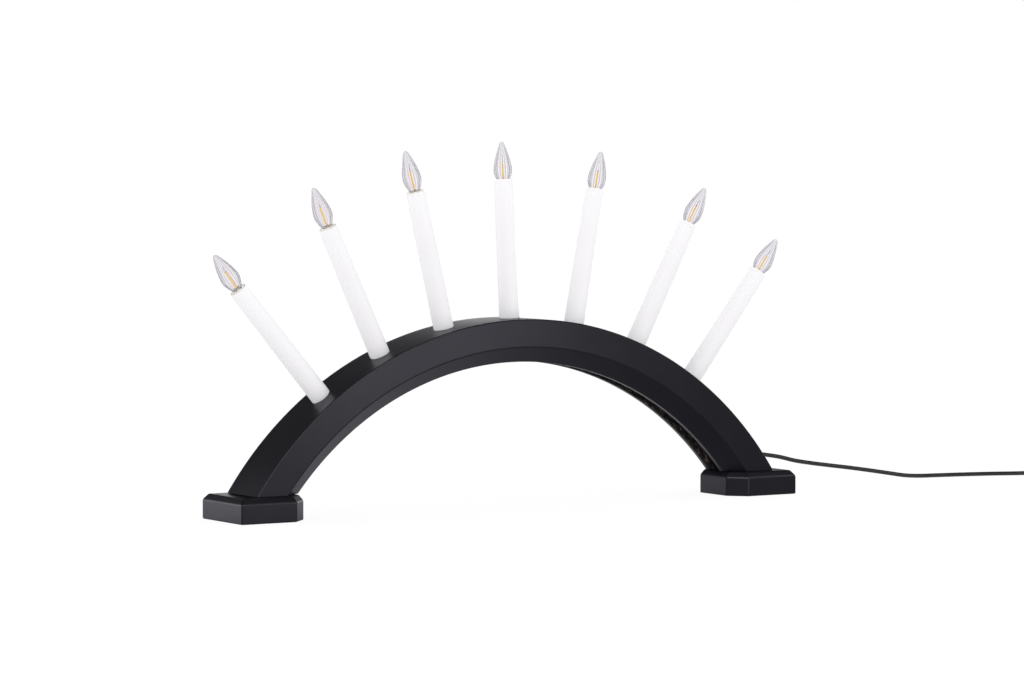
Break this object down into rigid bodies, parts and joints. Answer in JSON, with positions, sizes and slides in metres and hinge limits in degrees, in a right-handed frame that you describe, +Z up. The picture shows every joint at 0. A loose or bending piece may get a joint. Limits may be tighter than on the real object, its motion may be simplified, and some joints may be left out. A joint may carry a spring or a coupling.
{
  "type": "electric candle arch",
  "caption": "Electric candle arch: a curved black wooden bridge on flat feet carries a fan of white candle tubes with screw-in, flame-shaped clear lamps and a mains lead.",
  "frame": {"origin": "on the table, midway between the feet in width and depth", "axes": "+X from the left foot to the right foot as seen from the front, +Y to the back, +Z up"},
  "size_m": [0.943, 0.1435, 0.2956],
  "materials": {
    "black_wood": "satin black paint",
    "candle_plastic": "smooth white",
    "holder_plastic": "plain",
    "contact_brass": "bare",
    "cap_nickel": "nickel plated",
    "lamp_glass": "clear, fluted",
    "filament_phosphor": "warm yellow coating",
    "screw_steel": "zinc plated",
    "wire_insulation": "plain",
    "lead_black": "satin"
  },
  "bodies": {
    "bridge": {"arch": "black_wood", "foot_left": "black_wood", "foot_right": "black_wood", "foot_screw_left": "screw_steel", "foot_screw_right": "screw_steel", "candle_tube_1": "candle_plastic", "lamp_holder_1": "holder_plastic", "candle_tube_2": "candle_plastic", "lamp_holder_2": "holder_plastic", "candle_tube_3": "candle_plastic", "lamp_holder_3": "holder_plastic", "candle_tube_4": "candle_plastic", "lamp_holder_4": "holder_plastic", "candle_tube_5": "candle_plastic", "lamp_holder_5": "holder_plastic", "candle_tube_6": "candle_plastic", "lamp_holder_6": "holder_plastic", "candle_tube_7": "candle_plastic", "lamp_holder_7": "holder_plastic", "wire_link_1_2": "wire_insulation", "wire_link_2_3": "wire_insulation", "wire_link_3_4": "wire_insulation", "wire_link_4_5": "wire_insulation", "wire_link_5_6": "wire_insulation", "wire_link_6_7": "wire_insulation", "wire_feed": "wire_insulation", "wire_return": "wire_insulation", "strain_relief": "lead_black", "cord": "lead_black", "cord_coil": "lead_black", "cord_tie": "lead_black", "plug": "lead_black"},
    "contact_1": {"lamp_contact_1": "contact_brass"},
    "lamp_1": {"lamp_cap_1": "cap_nickel", "lamp_glass_1": "lamp_glass", "lamp_filament_1": "filament_phosphor"},
    "contact_2": {"lamp_contact_2": "contact_brass"},
    "lamp_2": {"lamp_cap_2": "cap_nickel", "lamp_glass_2": "lamp_glass", "lamp_filament_2": "filament_phosphor"},
    "contact_3": {"lamp_contact_3": "contact_brass"},
    "lamp_3": {"lamp_cap_3": "cap_nickel", "lamp_glass_3": "lamp_glass", "lamp_filament_3": "filament_phosphor"},
    "contact_4": {"lamp_contact_4": "contact_brass"},
    "lamp_4": {"lamp_cap_4": "cap_nickel", "lamp_glass_4": "lamp_glass", "lamp_filament_4": "filament_phosphor"},
    "contact_5": {"lamp_contact_5": "contact_brass"},
    "lamp_5": {"lamp_cap_5": "cap_nickel", "lamp_glass_5": "lamp_glass", "lamp_filament_5": "filament_phosphor"},
    "contact_6": {"lamp_contact_6": "contact_brass"},
    "lamp_6": {"lamp_cap_6": "cap_nickel", "lamp_glass_6": "lamp_glass", "lamp_filament_6": "filament_phosphor"},
    "contact_7": {"lamp_contact_7": "contact_brass"},
    "lamp_7": {"lamp_cap_7": "cap_nickel", "lamp_glass_7": "lamp_glass", "lamp_filament_7": "filament_phosphor"}
  },
  "joints": [
    {"name": "lamp_1_rise", "type": "slide", "parent": "bridge", "child": "contact_1", "axis": [-0.6149, 0.0105, 0.7885], "range_m": [0, 0.00182]},
    {"name": "lamp_1_turn", "type": "hinge", "parent": "contact_1", "child": "lamp_1", "pos_m": [-0.24915, 0.00118, 0.18085], "axis": [-0.6149, 0.0105, 0.7885], "range_deg": [0, 360]},
    {"name": "lamp_2_rise", "type": "slide", "parent": "bridge", "child": "contact_2", "axis": [-0.3954, -0.0227, 0.9182], "range_m": [0, 0.00182]},
    {"name": "lamp_2_turn", "type": "hinge", "parent": "contact_2", "child": "lamp_2", "pos_m": [-0.17096, -0.00256, 0.22825], "axis": [-0.3954, -0.0227, 0.9182], "range_deg": [0, 360]},
    {"name": "lamp_3_rise", "type": "slide", "parent": "bridge", "child": "contact_3", "axis": [-0.2865, -0.0139, 0.958], "range_m": [0, 0.00182]},
    {"name": "lamp_3_turn", "type": "hinge", "parent": "contact_3", "child": "lamp_3", "pos_m": [-0.08991, -0.00158, 0.25569], "axis": [-0.2865, -0.0139, 0.958], "range_deg": [0, 360]},
    {"name": "lamp_4_rise", "type": "slide", "parent": "bridge", "child": "contact_4", "axis": [-0.0384, 0.0244, 0.999], "range_m": [0, 0.00182]},
    {"name": "lamp_4_turn", "type": "hinge", "parent": "contact_4", "child": "lamp_4", "pos_m": [-0.00418, 0.00266, 0.26164], "axis": [-0.0384, 0.0244, 0.999], "range_deg": [0, 360]},
    {"name": "lamp_5_rise", "type": "slide", "parent": "bridge", "child": "contact_5", "axis": [0.1848, 0, 0.9828], "range_m": [0, 0.00182]},
    {"name": "lamp_5_turn", "type": "hinge", "parent": "contact_5", "child": "lamp_5", "pos_m": [0.08259, 0, 0.25404], "axis": [0.1848, 0, 0.9828], "range_deg": [0, 360]},
    {"name": "lamp_6_rise", "type": "slide", "parent": "bridge", "child": "contact_6", "axis": [0.4733, -0.061, 0.8788], "range_m": [0, 0.00182]},
    {"name": "lamp_6_turn", "type": "hinge", "parent": "contact_6", "child": "lamp_6", "pos_m": [0.17058, -0.00683, 0.22701], "axis": [0.4733, -0.061, 0.8788], "range_deg": [0, 360]},
    {"name": "lamp_7_rise", "type": "slide", "parent": "bridge", "child": "contact_7", "axis": [0.5465, -0.0784, 0.8338], "range_m": [0, 0.00182]},
    {"name": "lamp_7_turn", "type": "hinge", "parent": "contact_7", "child": "lamp_7", "pos_m": [0.24008, -0.00871, 0.18508], "axis": [0.5465, -0.0784, 0.8338], "range_deg": [0, 360]}
  ],
  "couplings": [
    {"joint": "lamp_1_rise", "follows": "lamp_1_turn", "m_per_rad": 0.00028871},
    {"joint": "lamp_2_rise", "follows": "lamp_2_turn", "m_per_rad": 0.00028871},
    {"joint": "lamp_3_rise", "follows": "lamp_3_turn", "m_per_rad": 0.00028871},
    {"joint": "lamp_4_rise", "follows": "lamp_4_turn", "m_per_rad": 0.00028871},
    {"joint": "lamp_5_rise", "follows": "lamp_5_turn", "m_per_rad": 0.00028871},
    {"joint": "lamp_6_rise", "follows": "lamp_6_turn", "m_per_rad": 0.00028871},
    {"joint": "lamp_7_rise", "follows": "lamp_7_turn", "m_per_rad": 0.00028871}
  ]
}
